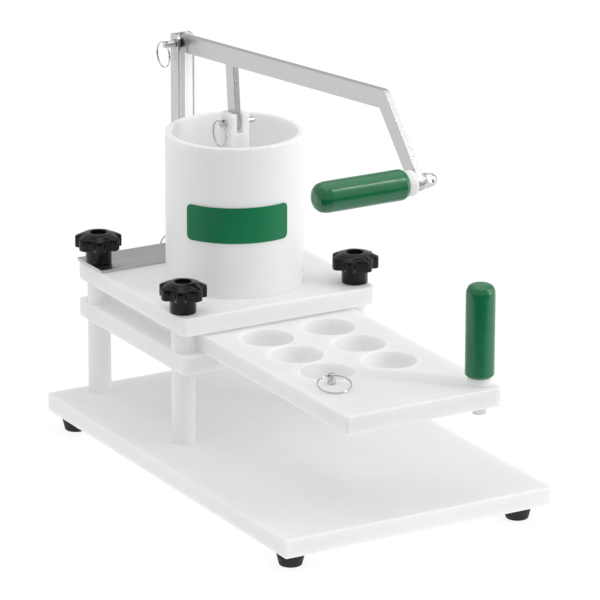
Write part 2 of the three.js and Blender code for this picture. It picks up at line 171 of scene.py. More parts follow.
def plate(loops, matrix=Matrix.Identity(4)):
    """Flat piece. loops: [(outline, profile)], the outer one first and then the holes."""
    verts, normals, faces, lows, tops = [], [], [], [], []
    for outline, profile in loops:
        m, base = len(outline), len(verts)
        for o, z, no, nz in profile:
            for x, y, nx, ny in outline:
                verts.append((x + nx * o, y + ny * o, z))
                normals.append((nx * no, ny * no, nz))
        for i in range(len(profile) - 1):
            for j in range(m):
                a, b = base + i * m + j, base + i * m + (j + 1) % m
                faces.append((a, b, b + m, a + m))
        lows.append(list(range(base, base + m)))
        tops.append(list(range(base + (len(profile) - 1) * m, base + len(profile) * m)))
    for rings, up in ((lows, -1), (tops, 1)):
        flat = [i for ring in rings for i in ring]
        for tri in tessellate_polygon([[Vector((verts[i][0], verts[i][1], 0)) for i in ring] for ring in rings]):
            a, b, c = (flat[k] for k in tri)
            area = ((verts[b][0] - verts[a][0]) * (verts[c][1] - verts[a][1])
                    - (verts[b][1] - verts[a][1]) * (verts[c][0] - verts[a][0]))
            if abs(area) < 1e-9:
                continue
            faces.append((a, b, c) if area * up > 0 else (a, c, b))
    return build(verts, faces, normals, matrix)


def lathe(profile, seg=72, matrix=Matrix.Identity(4), closed=False, step=15.0):
    """Turned piece about Z. profile: [(r, z, fillet)], from the axis to the axis or a closed loop."""
    if closed:
        pts = rounded(profile, True, step)
    else:
        r0, z0 = profile[0][:2]
        r1, z1 = profile[-1][:2]
        body = rounded(profile, False, step)
        first, last = body[0], body[-1]
        pts = [(r0, z0, 0.0, first[3] if abs(first[3]) > 0.5 else -1.0)] + body
        pts.append((r1, z1, 0.0, last[3] if abs(last[3]) > 0.5 else 1.0))
    verts, normals, faces, rows = [], [], [], []
    for r, z, nr, nz in pts:
        if r < 1e-6:
            rows.append([len(verts)] * seg)
            verts.append((0, 0, z))
            normals.append((0, 0, 1 if nz > 0 else -1))
            continue
        rows.append(list(range(len(verts), len(verts) + seg)))
        for j in range(seg):
            a = 2 * math.pi * j / seg
            verts.append((r * math.cos(a), r * math.sin(a), z))
            normals.append((nr * math.cos(a), nr * math.sin(a), nz))
    count = len(rows) if closed else len(rows) - 1
    for i in range(count):
        lo, hi = rows[i], rows[(i + 1) % len(rows)]
        for j in range(seg):
            k = (j + 1) % seg
            f = [lo[j], lo[k], hi[k], hi[j]]
            if lo[j] == lo[k]:
                f = [lo[j], hi[k], hi[j]]
            elif hi[j] == hi[k]:
                f = [lo[j], lo[k], hi[j]]
            faces.append(tuple(f))
    return build(verts, faces, normals, matrix)


def tube(ri, ro, z0, z1, f=0.5, seg=72, matrix=Matrix.Identity(4)):
    return lathe([(ri, z0, min(f, 0.4)), (ro, z0, f), (ro, z1, f), (ri, z1, min(f, 0.4))], seg, matrix, closed=True)


def sweep(points, radius, seg=10, loop=False):
    """Round wire along points."""
    verts, normals, faces = [], [], []
    n = len(points)
    pts = [Vector(p) for p in points]
    ref = None
    for i, p in enumerate(pts):
        a = pts[(i - 1) % n] if loop or i else p
        b = pts[(i + 1) % n] if loop or i < n - 1 else p
        d = (b - a).normalized()
        if ref is None:
            ref = Vector((0, 0, 1)) if abs(d.z) < 0.9 else Vector((1, 0, 0))
        u = (ref - d * ref.dot(d)).normalized()
        v = d.cross(u)
        ref = u
        for j in range(seg):
            t = 2 * math.pi * j / seg
            m = u * math.cos(t) + v * math.sin(t)
            verts.append(tuple(p + m * radius))
            normals.append(tuple(m))
    for i in range(n if loop else n - 1):
        for j in range(seg):
            a, b = i * seg + j, i * seg + (j + 1) % seg
            c, d = ((i + 1) % n) * seg + (j + 1) % seg, ((i + 1) % n) * seg + j
            faces.append((a, b, c, d))
    if not loop:
        faces.append(tuple(range(seg))[::-1])
        faces.append(tuple(range((n - 1) * seg, n * seg)))
    return build(verts, faces, normals)


def obj(name, *meshes, matrix=Matrix.Identity(4)):
    """One object from meshes in mm, moved into the row frame."""
    bm = bmesh.new()
    keep = len(meshes) == 1
    if keep:
        me = meshes[0]
        me.name = name
        me.transform(TO_ROW @ matrix)
        me.update()
    else:
        for m in meshes:
            bm.from_mesh(m)
        me = bpy.data.meshes.new(name)
        bm.to_mesh(me)
        me.transform(TO_ROW @ matrix)
        by_angle(me)
    bm.free()
    o = bpy.data.objects.new(name, me)
    bpy.context.scene.collection.objects.link(o)
    return o


def by_angle(me, deg=32.0):
    if me.has_custom_normals:
        me.attributes.remove(me.attributes["custom_normal"])
    me.polygons.foreach_set("use_smooth", [True] * len(me.polygons))
    me.set_sharp_from_angle(angle=math.radians(deg))
    me.update()


def cut(o, *tools, how="DIFFERENCE"):
    """Boolean in the row frame, applied."""
    for me in tools:
        me.transform(TO_ROW)
        t = bpy.data.objects.new("tool", me)
        bpy.context.scene.collection.objects.link(t)
        mod = o.modifiers.new("b", "BOOLEAN")
        mod.operation, mod.solver, mod.object = how, "EXACT", t
        bpy.context.view_layer.update()
        dg = bpy.context.evaluated_depsgraph_get()
        new = bpy.data.meshes.new_from_object(o.evaluated_get(dg))
        o.modifiers.clear()
        old, o.data = o.data, new
        new.name = o.name
        bpy.data.meshes.remove(old)
        bpy.data.objects.remove(t)
    by_angle(o.data)
    return o


# ------------------------------------------------------------------ materials
class Nodes:
    def __init__(self, name):
        self.mat = bpy.data.materials.new(name)
        self.mat.use_nodes = True
        self.t = self.mat.node_tree
        self.bsdf = self.t.nodes["Principled BSDF"]
        self.coord = self.t.nodes.new("ShaderNodeTexCoord")

    def set(self, **kw):
        for k, v in kw.items():
            self.bsdf.inputs[k.replace("_", " ")].default_value = v
        return self

    def link(self, a, b):
        self.t.links.new(a, b)

    def noise(self, scale, detail=3.0, stretch=(1, 1, 1), rough=0.5, turn=0.0):
        mp = self.t.nodes.new("ShaderNodeMapping")
        mp.inputs["Rotation"].default_value = (turn, 0, 0)
        mp.inputs["Scale"].default_value = stretch
        self.link(self.coord.outputs["Object"], mp.inputs["Vector"])
        n = self.t.nodes.new("ShaderNodeTexNoise")
        n.inputs["Scale"].default_value = scale
        n.inputs["Detail"].default_value = detail
        n.inputs["Roughness"].default_value = rough
        self.link(mp.outputs["Vector"], n.inputs["Vector"])
        return n.outputs["Fac"]

    def remap(self, src, a, b, lo=0.3, hi=0.7):
        m = self.t.nodes.new("ShaderNodeMapRange")
        for k, v in (("From Min", lo), ("From Max", hi), ("To Min", a), ("To Max", b)):
            m.inputs[k].default_value = v
        self.link(src, m.inputs["Value"])
        return m.outputs["Result"]

    def colours(self, src, *stops):
        r = self.t.nodes.new("ShaderNodeValToRGB")
        e = r.color_ramp.elements
        while len(e) < len(stops):
            e.new(0.5)
        for el, (pos, col) in zip(e, stops):
            el.position, el.color = pos, (*col, 1)
        self.link(src, r.inputs["Fac"])
        self.link(r.outputs["Color"], self.bsdf.inputs["Base Color"])

    def rough(self, src):
        self.link(src, self.bsdf.inputs["Roughness"])

    def bumps(self, *layers):
        last = None
        for src, strength, dist in layers:
            b = self.t.nodes.new("ShaderNodeBump")
            b.inputs["Strength"].default_value = strength
            b.inputs["Distance"].default_value = dist
            self.link(src, b.inputs["Height"])
            if last is not None:
                self.link(last, b.inputs["Normal"])
            last = b.outputs["Normal"]
        self.link(last, self.bsdf.inputs["Normal"])


def hdpe(name, grain=(1, 1, 1)):
    # the faint glow stands for light that wanders through the whole plate
    m = Nodes(name).set(IOR=1.51, Subsurface_Weight=0.6, Subsurface_Radius=(1.0, 1.0, 1.0), Subsurface_Scale=0.016,
                        Emission_Color=(1, 1, 1, 1), Emission_Strength=0.16)
    cloud = m.noise(14, 4)
    m.colours(cloud, (0.3, (0.645, 0.647, 0.650)), (0.7, (0.672, 0.674, 0.676)))
    scuff = m.noise(160, 6, grain, 0.65)
    m.rough(m.remap(scuff, 0.36, 0.52))
    m.bumps((m.noise(700, 3), 0.10, 0.0002), (m.noise(260, 4, grain), 0.06, 0.0003))
    return m.mat


def steel(name, stretch, tone=0.58, rough=(0.24, 0.36), turn=0.0, painted_glow_band=None):
    """Brushed steel. The optional band (from, to, tone) paints light between those distances from the centre plane: a
    paler, less metallic, glowing strip, a painted highlight standing for the brightly lit inner faces of a channel.
    """
    m = Nodes(name).set(Metallic=1.0)
    streak = m.noise(520, 5, stretch, 0.7, turn)
    m.colours(streak, (0.3, (tone * 0.93,) * 3), (0.7, (tone * 1.05, tone * 1.053, tone * 1.056)))
    if painted_glow_band:
        # painted light: the inner faces of the flanges are made paler and less metallic, so they look brightly lit
        sep, away = m.t.nodes.new("ShaderNodeSeparateXYZ"), m.t.nodes.new("ShaderNodeMath")
        m.link(m.coord.outputs["Object"], sep.inputs["Vector"])
        away.operation = "ABSOLUTE"
        m.link(sep.outputs["X"], away.inputs[0])
        band = m.t.nodes.new("ShaderNodeMath")
        band.operation = "COMPARE"
        m.link(away.outputs["Value"], band.inputs[0])
        band.inputs[1].default_value = (painted_glow_band[0] + painted_glow_band[1]) / 2
        band.inputs[2].default_value = (painted_glow_band[1] - painted_glow_band[0]) / 2
        glow_mask = band.outputs["Value"]
        mix = m.t.nodes.new("ShaderNodeMix")
        mix.data_type = "RGBA"
        m.link(glow_mask, mix.inputs["Factor"])
        m.link(m.bsdf.inputs["Base Color"].links[0].from_socket, mix.inputs["A"])
        mix.inputs["B"].default_value = (painted_glow_band[2], painted_glow_band[2], painted_glow_band[2], 1)
        m.link(mix.outputs["Result"], m.bsdf.inputs["Base Color"])
        m.link(m.remap(glow_mask, 1.0, 0.25, 0.0, 1.0), m.bsdf.inputs["Metallic"])
        # painted glow on the same band, standing for light bouncing inside the channel
        m.bsdf.inputs["Emission Color"].default_value = (1, 1, 1, 1)
        m.link(m.remap(glow_mask, 0.0, 0.30, 0.0, 1.0), m.bsdf.inputs["Emission Strength"])
    m.rough(m.remap(m.noise(300, 4, stretch, 0.7, turn), *rough))
    m.bumps((streak, 0.06, 0.0001), (m.noise(30, 2), 0.04, 0.0006))
    return m.mat


def bright(name="bright_steel"):
    m = Nodes(name).set(Metallic=1.0)
    m.colours(m.noise(60, 3), (0.3, (0.58, 0.585, 0.59)), (0.7, (0.68, 0.685, 0.69)))
    m.rough(m.remap(m.noise(500, 4), 0.12, 0.24))
    m.bumps((m.noise(900, 3), 0.06, 0.0001))
    return m.mat


def plastic(name, lo, hi, rough, shine, bump, scale=600.0, dist=0.0002):
    m = Nodes(name).set(Specular_IOR_Level=shine, IOR=1.5)
    m.colours(m.noise(35, 4), (0.3, lo), (0.7, hi))
    m.rough(m.remap(m.noise(180, 5), *rough))
    m.bumps((m.noise(scale, 4), bump, dist), (m.noise(90, 2), 0.05, 0.0004))
    return m.mat


M = {
    "hdpe": hdpe("polyethylene_plate", (0.25, 1, 1)),
    "turned": hdpe("polyethylene_turned", (0.4, 0.4, 5)),
    "lever": steel("brushed_lever", (3.0, 0.05, 3.0), 0.57, turn=math.radians(5.3)),
    # the mast's inner flange faces get a painted bright, glowing band
    "mast": steel("brushed_mast", (2.0, 2.0, 0.05), 0.58, painted_glow_band=(0.0066, 0.0072, 0.93)),
    "strip": steel("brushed_strip", (0.06, 2.0, 2.0), 0.52),
    "bright": bright(),
    "black": plastic("black_knob", (0.0022, 0.0022, 0.0026), (0.005, 0.005, 0.0056), (0.09, 0.15), 0.24, 0.06),
    "rubber": plastic("black_rubber", (0.010, 0.010, 0.010), (0.020, 0.020, 0.020), (0.50, 0.70), 0.3, 0.25, 900),
    "green": plastic("green_vinyl", (0.0012, 0.140, 0.048), (0.0020, 0.162, 0.058), (0.17, 0.24), 0.60, 0.06, 350),
    "label": plastic("green_label", (0.0010, 0.165, 0.062), (0.0015, 0.185, 0.070), (0.30, 0.42), 0.3, 0.05),
}
node_body = {n: b for b, ns in frame["record"]["behaviour"]["bodies"].items() for n in ns}
node_slot = {s["node"]: s["material_slot"] for s in frame["record"]["subparts"]}
done = set()


def stand(o, node, mat):
    """o stands for that CAD node."""
    o.name = node + ".fine"
    o.data.materials.clear()
    o.data.materials.append(M[mat])
    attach(o, node_body[node])
    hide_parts(node)
    done.add(node)


CORNERS = (("front_left", -1, 0), ("front_right", 1, 0), ("rear_left", -1, 1), ("rear_right", 1, 1))

# ------------------------------------------------------------------ base, feet, legs, decks
loops = [(rect(-BASE_W / 2, BASE_W / 2, 0, BASE_L, 2), wall(0, PLATE, 0.9, 0.9))]
for _, s, k in CORNERS:
    d = 11 - ROD_BORE
    loops.append((circle(ROD_BORE, 40, s * LEG_X, LEG_Y[k], True),
                  rounded([(-60, 0, 0), (-d, 0, 0.3), (-d, 8, 0.3), (0, 8, 0.3), (0, PLATE, 0.3), (-50, PLATE, 0)], False, 22.5)))
stand(obj("base", plate(loops)), "base_plate", "hdpe")

for name, s, k in CORNERS:
    at = T(s * FOOT_X, FOOT_Y[k], 0)
    stand(obj("foot", lathe([(2.9, 0, 0.1), (2.9, -9, 0.1), (5.4, -9, 0.2), (5.4, -FOOT_H, 0.6), (FOOT_R_BOT - 0.2, -FOOT_H, 1.8),
                             (FOOT_R_TOP - 0.6, -1.8, 0.6), (FOOT_R_TOP, -0.9, 0.3), (FOOT_R_TOP, 0, 0.3)], 64, at, True)),
          "foot_" + name, "rubber")
    stand(obj("screw", lathe([(0, -11.6, 0), (2.0, -11.6, 0.1), (2.2, -13, 0.15), (3.6, -13, 0.6), (4.7, -11.4, 0.4), (4.7, -9.3, 0.2),
                              (2.4, -9.3, 0.1), (2.4, 12.2, 0.4), (0, 13, 0)], 36, at)), "foot_screw_" + name, "bright")
    leg = T(s * LEG_X, LEG_Y[k], 0)
    stand(obj("leg", tube(ROD_BORE, LEG_R, Z_LEG, Z_LOW, 0.7, 80, leg)), "leg_" + name, "turned")
    stand(obj("spacer", tube(ROD_BORE, LEG_R, Z_SLOT, Z_UP, 0.5, 80, leg)), "spacer_" + name, "turned")

lower = [(rect(-DECK_W / 2, DECK_W / 2, *DECK_Y, DECK_R), wall(Z_LOW, Z_SLOT, 0.9, 0.9))]
upper = [(rect(-DECK_W / 2, DECK_W / 2, *DECK_Y, DECK_R), wall(Z_UP, Z_TOP, 0.9, 0.9))]
for _, s, k in CORNERS:
    hole = circle(ROD_BORE, 40, s * LEG_X, LEG_Y[k], True)
    lower.append((hole, wall(Z_LOW, Z_SLOT, 0.3, 0.3)))
    upper.append((hole, wall(Z_UP, Z_TOP, 0.3, 0.3)))
d = HOP_RO + 0.3 - HOP_RI
upper.append((circle(HOP_RI, 160, 0, HOP_Y, True),
              rounded([(-50, Z_UP, 0), (0, Z_UP, 0.6), (0, Z_TOP - HOP_SPIGOT, 0.2), (-d, Z_TOP - HOP_SPIGOT, 0.2),
                       (-d, Z_TOP, 0.3), (-50, Z_TOP, 0)], False, 22.5)))
stand(obj("lower", plate(lower)), "lower_deck", "hdpe")
stand(obj("upper", plate(upper)), "upper_deck", "hdpe")

# ------------------------------------------------------------------ hopper and plain label
stand(obj("hopper", tube(HOP_RI, HOP_RO, Z_TOP - HOP_SPIGOT, HOP_TOP, 0.9, 180, T(0, HOP_Y, 0))), "hopper", "turned")


def label():
    r0, r1, half, corner = HOP_RO + 0.4, HOP_RO + 1.1, math.radians(45), 5.5
    mid, S, H, zc = math.radians(-116.5), half * r1, 18.75, 234.25
    cols = [-S + corner * (1 - math.cos(math.pi / 2 * i / 10)) for i in range(10)]
    cols += [-(S - corner) + 2 * (S - corner) * i / 60 for i in range(61)]
    cols += [S - corner * (1 - math.cos(math.pi / 2 * i / 10)) for i in range(9, -1, -1)]
    verts, faces = [], []
    for s in cols:
        over = max(0.0, abs(s) - (S - corner))
        h = H - corner + math.sqrt(max(corner ** 2 - over ** 2, 0.0))
        a = mid + s / r1
        for r, z in ((r0, -h), (r1, -h), (r1, h), (r0, h)):
            verts.append((r * math.cos(a), r * math.sin(a), zc + z))
    n = len(cols)
    for i in range(n - 1):
        a, b = 4 * i, 4 * i + 4
        for j in range(4):
            k = (j + 1) % 4
            faces.append((a + j, b + j, b + k, a + k))
    faces += [(0, 1, 2, 3), tuple(4 * (n - 1) + j for j in (3, 2, 1, 0))]
    me = build(verts, faces, None, T(0, HOP_Y, 0))
    by_angle(me, 40)
    return me


stand(obj("label", label()), "hopper_label", "label")


# ------------------------------------------------------------------ knobs and tie rods
def knob():
    """Fluted head with a shallow crown, on a round stem."""
    seg = KNOB_LOBES * 32
    R0, F = KNOB_R, KNOB_FLUTE
    path = [(ROD_R + 0.5, 0, 0.2), (KNOB_STEM_R - 0.8, 0, 0.2), (KNOB_STEM_R - 0.2, 0, 0.5), (KNOB_STEM_R, 0, 1.1),
            (KNOB_STEM_R, 0, KNOB_STEM_H - 0.8), (KNOB_STEM_R + 0.25, 0, KNOB_STEM_H - 0.2), (KNOB_STEM_R + 0.9, 0, KNOB_STEM_H)]
    path += [(R0 - 7.2, 0, KNOB_STEM_H), (R0 - 1.0, F - 0.5, KNOB_STEM_H), (R0 - 0.35, F - 0.1, KNOB_STEM_H + 0.25),
             (R0, F, KNOB_STEM_H + 0.9), (R0, F, KNOB_RIM - 1.6)]
    path += [(R0 - 0.12, F, KNOB_RIM - 0.95), (R0 - 0.55, F - 0.1, KNOB_RIM - 0.35), (R0 - 1.2, F - 0.25, KNOB_RIM)]
    path += [(R0 - 3.0, F - 1.1, KNOB_RIM + 0.75), (R0 - 5.2, F - 2.5, KNOB_RIM + 1.7), (18.0, 1.2, KNOB_RIM + 2.35),
             (15.6, 0.4, KNOB_RIM + 3.05), (12.8, 0, KNOB_RIM + 3.7), (10.6, 0, KNOB_H - 0.08), (9.6, 0, KNOB_H),
             (9.0, 0, KNOB_H - 0.15), (8.6, 0, KNOB_H - 0.6), (8.5, 0, KNOB_H - 1.2), (8.5, 0, KNOB_H - 4.8), (8.3, 0, KNOB_H - 5.0),
             (ROD_R + 0.5, 0, KNOB_H - 5.0)]
    verts, faces = [], []
    for r, dep, z in path:
        for j in range(seg):
            a = 2 * math.pi * j / seg
            w = 0.5 + 0.5 * math.tanh(2.2 * math.cos(KNOB_LOBES * a)) / math.tanh(2.2)
            q = r - dep * (1 - w)
            verts.append((q * math.cos(a), q * math.sin(a), z))
    for i in range(len(path)):
        for j in range(seg):
            k, nx = (j + 1) % seg, (i + 1) % len(path)
            faces.append((i * seg + j, i * seg + k, nx * seg + k, nx * seg + j))
    me = build(verts, faces)
    by_angle(me, 30)
    return me


for name, s, k in CORNERS:
    seat = Z_TOP + (STRIP_T if k else 0)
    at = T(s * LEG_X, LEG_Y[k], seat)
    turn = R(KNOB_TURN[[c[0] for c in CORNERS].index(name)], "Z")
    stand(obj("knob", knob(), matrix=at @ turn), "star_knob_" + name, "black")
    stand(obj("rod", lathe([(0, 3.6, 0), (3.4, 3.6, 0.1), (3.4, 1, 0.3), (9, 1, 0.9), (9, 7.7, 0.4), (ROD_R, 7.7, 0.2),
                            (ROD_R, seat + 27.2, 0.6), (0, seat + 28, 0)], 48, T(s * LEG_X, LEG_Y[k], 0))),
          "tie_rod_" + name, "bright")

# ------------------------------------------------------------------ mast and its bracket
my0, my1, mh = MAST_Y[0], MAST_Y[1], MAST_W / 2
strip = [(rect(-DECK_W / 2, DECK_W / 2, *STRIP_Y, 1.0), wall(Z_TOP, Z_TOP + STRIP_T, 0.35, 0.35))]
for s in (-1, 1):
    strip.append((circle(ROD_BORE, 36, s * LEG_X, LEG_Y[1], True), wall(Z_TOP, Z_TOP + STRIP_T, 0.2, 0.2)))
socket = [(rect(-mh - 3.3, mh + 3.3, my0 - 3.3, my1 + 3.3, 3.6), wall(Z_TOP + 2.0, Z_TOP + 24, 0.1, 0.4)),
          (rect(-mh - 0.3, mh + 0.3, my0 - 0.3, my1 + 0.3, 1.0, True), wall(Z_TOP + 2.0, Z_TOP + 24, 0.1, 0.3))]
bead_path = [(x + nx * 0.4, y + ny * 0.4, Z_TOP + STRIP_T + 0.3)
             for x, y, nx, ny in rect(-mh - 3.3, mh + 3.3, my0 - 3.3, my1 + 3.3, 3.6)]
fine = []
for i, p in enumerate(bead_path):
    q = bead_path[(i + 1) % len(bead_path)]
    steps = max(1, int((Vector(q) - Vector(p)).length / 1.0))
    fine += [tuple(Vector(p).lerp(Vector(q), t / steps)) for t in range(steps)]
bead = sweep(fine, 1.3, 12, True)
sock = obj("sock", plate(socket))
cut(sock, lathe([(0, 455, 0), (PIN_BORE, 455, 0.1), (PIN_BORE, 500, 0.1), (0, 500, 0)], 36, T(0, 0, BASE_PIN_Z) @ ALONG_Y))
bm = bmesh.new()
strip_me, bead_me = plate(strip), sweep(fine, 1.3, 12, True)
for me in (strip_me, bead_me):
    me.transform(TO_ROW)
    bm.from_mesh(me)
bm.from_mesh(sock.data)
bm.to_mesh(sock.data)
bm.free()
by_angle(sock.data)
stand(sock, "mast_bracket", "strip")

zb = Z_TOP + STRIP_T + 0.3
channel = rounded([(-mh, my0, 0.3), (-mh + MAST_T, my0, 0.3), (-mh + MAST_T, my1 - MAST_T, 0.9), (mh - MAST_T, my1 - MAST_T, 0.9),
                   (mh - MAST_T, my0, 0.3), (mh, my0, 0.3), (mh, my1, 1.9), (-mh, my1, 1.9)])
o = obj("mast", plate([(channel, wall(zb, MAST_TOP, 0.25, 0.25))]))
cheek = rounded([(my0 - 0.01, zb - 1, 0.1), (my1 + 0.01, zb - 1, 0.1), (my1 + 0.01, MAST_TOP, 6), (my0 - 0.01, MAST_TOP, 6)])
cut(o, plate([(cheek, wall(-20, 20, 0.05, 0.05))], UPRIGHT), how="INTERSECT")
cut(o, lathe([(0, 480, 0), (PIN_BORE, 480, 0.1), (PIN_BORE, 500, 0.1), (0, 500, 0)], 36, T(0, 0, BASE_PIN_Z) @ ALONG_Y),
    lathe([(0, -20, 0), (PIN_BORE, -20, 0.1), (PIN_BORE, 20, 0.1), (0, 20, 0)], 36, T(0, *PIVOT) @ ALONG_X))
stand(o, "mast", "mast")


# ------------------------------------------------------------------ pull pins and split rings
def pull_pin(head0, head1, tip, cross, place):
    shoulder = max(head1 - 2.6, head0 + 3.0)
    o = obj("pin", lathe([(0, head0, 0), (3.4, head0, 0.9), (3.4, shoulder, 0.2), (4.3, shoulder, 0.35), (4.3, head1, 0.3),
                          (PIN_R, head1, 0.1), (PIN_R, tip - 1.6, 0.5), (PIN_R - 1.3, tip, 0.3), (0, tip, 0)], 56, place))
    tool = lathe([(0, -8, 0), (1.7, -8, 0.1), (1.7, 8, 0.1), (0, 8, 0)], 24, place @ T(0, 0, cross) @ ALONG_Y)
    return cut(o, tool)


def split_ring(radius, place):
    """Two flat turns of wire with one cross-over."""
    pts, n, turns = [], 220, 1.94
    for i in range(n + 1):
        t = i / n
        a = 2 * math.pi * turns * t + math.radians(200)
        u = min(1.0, max(0.0, (t - 0.44) / 0.12))
        off = -0.5 + 1.0 * (u * u * (3 - 2 * u))
        pts.append((radius * math.cos(a), radius * math.sin(a), off))
    me = sweep(pts, 0.54, 12)
    me.transform(place)
    return obj("ring", me)


LEAN = R(RING_LEAN, "X")
HANG = T(0, 0, RING_SIT - RING_R)
stand(pull_pin(-22.5, -9.8, 17, -20, T(0, *PIVOT) @ LEAN @ ALONG_X), "fulcrum_pin", "bright")
stand(split_ring(RING_R, T(-20, *PIVOT) @ LEAN @ HANG @ ALONG_X), "fulcrum_pin_ring", "bright")
stand(pull_pin(-17, -STEM - 0.4, 23, -14.6, T(0, *CLEVIS) @ LEAN @ ALONG_X), "plunger_pin", "bright")
stand(split_ring(RING_R, T(-14.6, *CLEVIS) @ LEAN @ HANG @ ALONG_X), "plunger_pin_ring", "bright")
stand(pull_pin(-REAR_END, -(my1 + 3.6), -462, -508, T(0, 0, BASE_PIN_Z) @ R(90, "X") @ R(90, "Z")), "mast_pin", "bright")
stand(split_ring(RING_R, T(0, 508, BASE_PIN_Z - RING_R + RING_SIT) @ R(90, "X")), "mast_pin_ring", "bright")

# ------------------------------------------------------------------ lever
P, B, G, Q = (Vector(v) for v in (PIVOT, BEND, GRIP, CLEVIS))
u, v = (B - P).normalized(), (G - B).normalized()
nu, nv = Vector((u.y, -u.x)), Vector((v.y, -v.x))
side = 1.0 if nu.y > 0 else -1.0


def meet(p, d, q, e):
    k = ((q.x - p.x) * e.y - (q.y - p.y) * e.x) / (d.x * e.y - d.y * e.x)
    return p + d * k


top = meet(P + nu * side * LEVER_H1, u, G + nv * side * LEVER_H2, v)
low = meet(P - nu * side * LEVER_H1, u, G - nv * side * LEVER_H2, v)
start = P + u * 6
hang_dir = -nu * side
edge = P - nu * side * LEVER_H1
link_front = meet(edge, u, Q + u * LINK_H, hang_dir)
link_rear = meet(edge, u, Q - u * LINK_H, hang_dir)
corners = []


def put(p, r=0.3):
    corners.append((p.x, p.y, r))


def around(c, r, a0, a1, n=10):
    for i in range(n + 1):
        a = a0 + (a1 - a0) * i / n
        corners.append((c.x + r * math.cos(a), c.y + r * math.sin(a), 0.6))


av, au = math.atan2(v.y, v.x), math.atan2(u.y, u.x)
al = math.atan2(hang_dir.y, hang_dir.x)
put(start + nu * side * LEVER_H1, 0.5)
put(top, BEND_R)
around(G, LEVER_H2, av - math.pi / 2, av + math.pi / 2, 18)
put(low, 1.2)
put(link_front, 1.6)
around(Q, LINK_H, al - math.pi / 2, al + math.pi / 2, 18)
put(link_rear, 1.6)
put(start - nu * side * LEVER_H1, 0.5)
around(P, 7.2, au - math.pi * 1.5 + 0.25, au - math.pi / 2 - 0.25, 12)


def area2(c):
    return sum(c[i - 1][0] * c[i][1] - c[i][0] * c[i - 1][1] for i in range(len(c)))


if area2(corners) < 0:
    corners.reverse()
side_wall = wall(-LEVER_T / 2, LEVER_T / 2, 0.45, 0.45)
bore_wall = wall(-LEVER_T / 2, LEVER_T / 2, 0.2, 0.2)
stand(obj("lever", plate([(rounded(corners), side_wall), (circle(PIN_BORE, 32, P.x, P.y, True), bore_wall),
                          (circle(PIN_BORE, 32, Q.x, Q.y, True), bore_wall), (circle(4.4, 32, G.x, G.y, True), bore_wall)], UPRIGHT)),
      "lever", "lever")
for name, a, b in (("lever_bush_left", -6.8, -3.5), ("lever_bush_right", 3.5, 6.8)):
    stand(obj("bush", tube(PIN_BORE, 4.8, a, b, 0.3, 48, T(0, *PIVOT) @ ALONG_X)), name, "black")

at = T(0, *GRIP) @ ALONG_X
stand(obj("grip", lathe([(0, -113, 0), (5.8, -112.9, 4), (10.8, -111.3, 5), (13.9, -107.6, 5), (15.2, -101.5, 8), (15.2, -96, 20), (15.2, -18.6, 3),
                         (13.8, -15.6, 1.2), (11.4, -14.6, 0.8), (4.6, -14.6, 0.2), (4.6, -106, 0.2), (0, -106, 0)], 96, at)), "lever_grip", "green")
stand(obj("collar", tube(4.5, 12.7, -14.3, -4.7, 0.8, 72, at)), "lever_grip_collar", "turned")
stand(obj("washer", tube(4.5, 8, -4.5, -3.5, 0.2, 56, at)), "lever_grip_washer", "bright")
stand(obj("spindle", lathe([(0, -104, 0), (4, -104, 0.6), (4, 13, 0.6), (0, 13, 0)], 40, at)), "lever_handle_rod", "bright")
stand(obj("nut_washer", tube(4.5, 8.5, 3.5, 5, 0.25, 56, at)), "lever_nut_washer", "bright")


def hexagon(af_r, f=0.4, turn=0.0):
    return rounded([(af_r * math.cos(math.radians(60 * i + turn)), af_r * math.sin(math.radians(60 * i + turn)), f) for i in range(6)])


nut = plate([(hexagon(7.6), wall(5.3, 13, 0.5, 0.7)), (circle(4.4, 24, 0, 0, True), wall(5.3, 13, 0.2, 0.2))], at)
dome = lathe([(0, 12.4, 0), (6.5, 12.4, 0.1), (6.5, 15.6, 0.6), (6.0, 18.0, 2.2), (4.2, 20.6, 2.4), (1.6, 21.6, 1.0), (0, 21.6, 0)], 56, at)
stand(obj("cap_nut", nut, dome), "lever_cap_nut", "bright")

# ------------------------------------------------------------------ plunger
py, pz = CLEVIS
zd, zt = PLUNGER_Z, PLUNGER_Z + PLUNGER_T
here = T(0, py, 0)
stand(obj("disc", lathe([(4.6, zd + 6, 0.1), (8.5, zd + 6, 0.1), (8.5, zd, 0.4), (PLUNGER_R, zd, 1.5), (PLUNGER_R, zt, 1.5), (4.6, zt, 0.3)],
                        160, here, True)), "plunger_disc", "turned")
o = obj("stem", plate([(rect(-STEM, STEM, py - STEM, py + STEM, 2), wall(zt, pz + 10.5, 0.4, 0.6)),]))
hw = LEVER_T / 2 + 0.5
cut(o, plate([(rect(-hw, hw, py - 20, py + 20, 0.1), wall(pz - 9.5, pz + 20, 0.05, 0.05))]),
    lathe([(0, -20, 0), (PIN_BORE, -20, 0.1), (PIN_BORE, 20, 0.1), (0, 20, 0)], 36, T(0, *CLEVIS) @ ALONG_X),
    lathe([(0, zt - 1, 0), (4.4, zt - 1, 0.1), (4.4, zt + 32, 0.1), (0, zt + 32, 0)], 32, here))
stand(o, "plunger_stem", "hdpe")
stand(obj("plunger_screw", lathe([(0, zd + 3, 0), (3.4, zd + 3, 0.1), (3.4, zd + 1, 0.3), (7.5, zd + 1, 0.5), (7.5, zd + 5.7, 0.3),
                                  (4, zd + 5.7, 0.1), (4, zt + 30, 0.6), (0, zt + 30, 0)], 40, here)), "plunger_screw", "bright")

